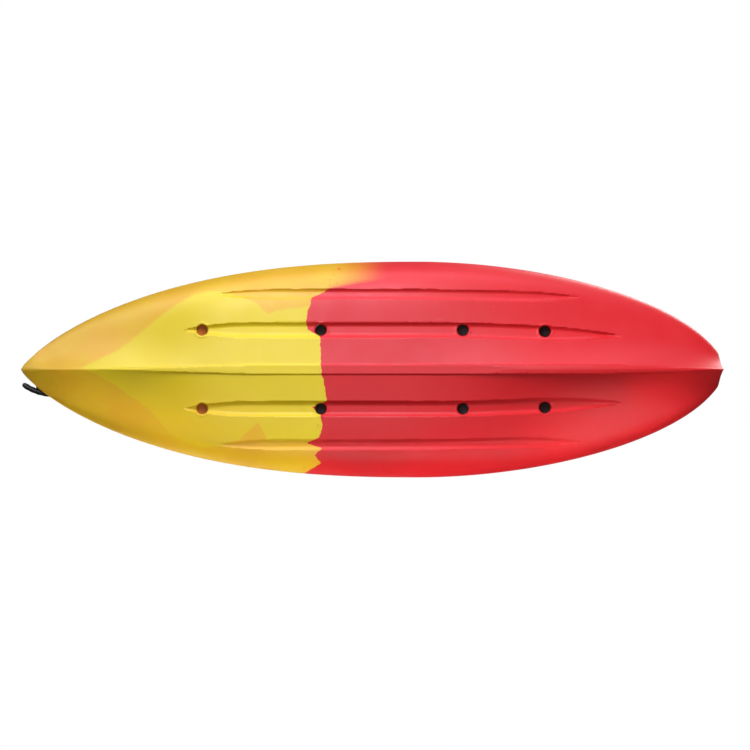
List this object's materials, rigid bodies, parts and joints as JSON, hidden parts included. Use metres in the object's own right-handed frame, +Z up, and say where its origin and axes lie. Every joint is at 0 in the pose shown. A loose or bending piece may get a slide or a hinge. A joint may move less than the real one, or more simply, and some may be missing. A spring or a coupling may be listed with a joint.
{
  "type": "kayak",
  "caption": "One-piece moulded sit-on-top kayak with seat, leg and tank wells, scupper holes, hatches, rod holders and carry handles.",
  "frame": {"origin": "mid-length on the centreline, on the surface that the keel rests on", "axes": "+X to the bow, +Y to port, +Z up"},
  "size_m": [2.705, 0.831, 0.3847],
  "materials": {
    "hull_polyethylene": "rotomoulded polyethylene, semi-gloss with fine orange peel, yellow forward running through orange into red aft",
    "moulded_black_nylon": "moulded black nylon, satin",
    "hatch_lid_plastic": "moulded black plastic with a fine pebble texture",
    "grip_plastic": "ribbed black plastic",
    "toggle_rubber": "smooth black rubber, slightly glossy",
    "black_rubber": "matte black rubber",
    "black_webbing": "woven black polyester webbing",
    "stainless_steel": "turned stainless steel"
  },
  "bodies": {
    "hull_body": {"hull": "hull_polyethylene", "bow_saddle": "moulded_black_nylon", "bow_saddle_screws": "stainless_steel", "stern_saddle": "moulded_black_nylon", "stern_saddle_screws": "stainless_steel", "port_handle_saddles": "moulded_black_nylon", "port_handle_saddles_screws": "stainless_steel", "starboard_handle_saddles": "moulded_black_nylon", "starboard_handle_saddles_screws": "stainless_steel", "tank_well_saddles": "moulded_black_nylon", "tank_well_saddles_screws": "stainless_steel", "seat_saddles": "moulded_black_nylon", "seat_saddles_screws": "stainless_steel", "port_rod_holder": "moulded_black_nylon", "port_rod_holder_gasket": "black_rubber", "port_rod_holder_screws": "stainless_steel", "starboard_rod_holder": "moulded_black_nylon", "starboard_rod_holder_gasket": "black_rubber", "starboard_rod_holder_screws": "stainless_steel", "bow_hatch_ring": "moulded_black_nylon", "bow_hatch_screws": "stainless_steel", "console_hatch_ring": "moulded_black_nylon", "console_hatch_screws": "stainless_steel", "drain_bush": "moulded_black_nylon", "drain_screws": "stainless_steel"},
    "bow_toggle_body": {"bow_strap": "black_webbing", "bow_toggle": "toggle_rubber"},
    "stern_toggle_body": {"stern_strap": "black_webbing", "stern_toggle": "toggle_rubber"},
    "port_handle_body": {"port_handle_strap": "black_webbing", "port_handle_grip": "grip_plastic"},
    "starboard_handle_body": {"starboard_handle_strap": "black_webbing", "starboard_handle_grip": "grip_plastic"},
    "bow_hatch_seal_body": {"bow_hatch_gasket": "black_rubber"},
    "bow_hatch_lid_body": {"bow_hatch_lid": "hatch_lid_plastic"},
    "console_hatch_seal_body": {"console_hatch_gasket": "black_rubber"},
    "console_hatch_lid_body": {"console_hatch_lid": "hatch_lid_plastic"},
    "drain_seal_body": {"drain_seal": "black_rubber"},
    "drain_plug_body": {"drain_plug": "moulded_black_nylon"},
    "port_knee_scupper_plug_body": {"port_knee_scupper_plug": "black_rubber"},
    "port_seat_scupper_plug_body": {"port_seat_scupper_plug": "black_rubber"},
    "port_tank_scupper_plug_body": {"port_tank_scupper_plug": "black_rubber"},
    "starboard_knee_scupper_plug_body": {"starboard_knee_scupper_plug": "black_rubber"},
    "starboard_seat_scupper_plug_body": {"starboard_seat_scupper_plug": "black_rubber"},
    "starboard_tank_scupper_plug_body": {"starboard_tank_scupper_plug": "black_rubber"}
  },
  "joints": [
    {"name": "bow_toggle_swing", "type": "hinge", "parent": "hull_body", "child": "bow_toggle_body", "pos_m": [1.288, 0, 0.3775], "axis": [-1, 0, 0], "range_deg": [0, 175]},
    {"name": "stern_toggle_swing", "type": "hinge", "parent": "hull_body", "child": "stern_toggle_body", "pos_m": [-1.262, 0, 0.3525], "axis": [-1, 0, 0], "range_deg": [0, 175]},
    {"name": "port_handle_swing", "type": "hinge", "parent": "hull_body", "child": "port_handle_body", "pos_m": [-0.1, 0.365, 0.2925], "axis": [-1, 0, 0], "range_deg": [0, 160]},
    {"name": "starboard_handle_swing", "type": "hinge", "parent": "hull_body", "child": "starboard_handle_body", "pos_m": [-0.1, -0.365, 0.2925], "axis": [1, 0, 0], "range_deg": [0, 160]},
    {"name": "bow_hatch_lift", "type": "slide", "parent": "hull_body", "child": "bow_hatch_seal_body", "axis": [0, 0, 1], "range_m": [0, 0.2]},
    {"name": "bow_hatch_twist", "type": "hinge", "parent": "bow_hatch_seal_body", "child": "bow_hatch_lid_body", "pos_m": [0.985, 0, 0.345], "axis": [0, 0, 1], "range_deg": [0, 90]},
    {"name": "console_hatch_lift", "type": "slide", "parent": "hull_body", "child": "console_hatch_seal_body", "axis": [0, 0, 1], "range_m": [0, 0.2]},
    {"name": "console_hatch_twist", "type": "hinge", "parent": "console_hatch_seal_body", "child": "console_hatch_lid_body", "pos_m": [0.33, 0, 0.272], "axis": [0, 0, 1], "range_deg": [0, 90]},
    {"name": "drain_plug_lift", "type": "slide", "parent": "hull_body", "child": "drain_seal_body", "axis": [0, 0, 1], "range_m": [0, 0.015]},
    {"name": "drain_plug_turn", "type": "hinge", "parent": "drain_seal_body", "child": "drain_plug_body", "pos_m": [-1.185, 0, 0.336], "axis": [0, 0, 1], "range_deg": [0, 1800]},
    {"name": "port_knee_scupper_plug_lift", "type": "slide", "parent": "hull_body", "child": "port_knee_scupper_plug_body", "axis": [0, 0, 1], "range_m": [0, 0.06]},
    {"name": "port_seat_scupper_plug_lift", "type": "slide", "parent": "hull_body", "child": "port_seat_scupper_plug_body", "axis": [0, 0, 1], "range_m": [0, 0.06]},
    {"name": "port_tank_scupper_plug_lift", "type": "slide", "parent": "hull_body", "child": "port_tank_scupper_plug_body", "axis": [0, 0, 1], "range_m": [0, 0.06]},
    {"name": "starboard_knee_scupper_plug_lift", "type": "slide", "parent": "hull_body", "child": "starboard_knee_scupper_plug_body", "axis": [0, 0, 1], "range_m": [0, 0.06]},
    {"name": "starboard_seat_scupper_plug_lift", "type": "slide", "parent": "hull_body", "child": "starboard_seat_scupper_plug_body", "axis": [0, 0, 1], "range_m": [0, 0.06]},
    {"name": "starboard_tank_scupper_plug_lift", "type": "slide", "parent": "hull_body", "child": "starboard_tank_scupper_plug_body", "axis": [0, 0, 1], "range_m": [0, 0.06]}
  ],
  "couplings": [
    {"joint": "drain_plug_lift", "follows": "drain_plug_turn", "m_per_rad": 0.00047746}
  ]
}
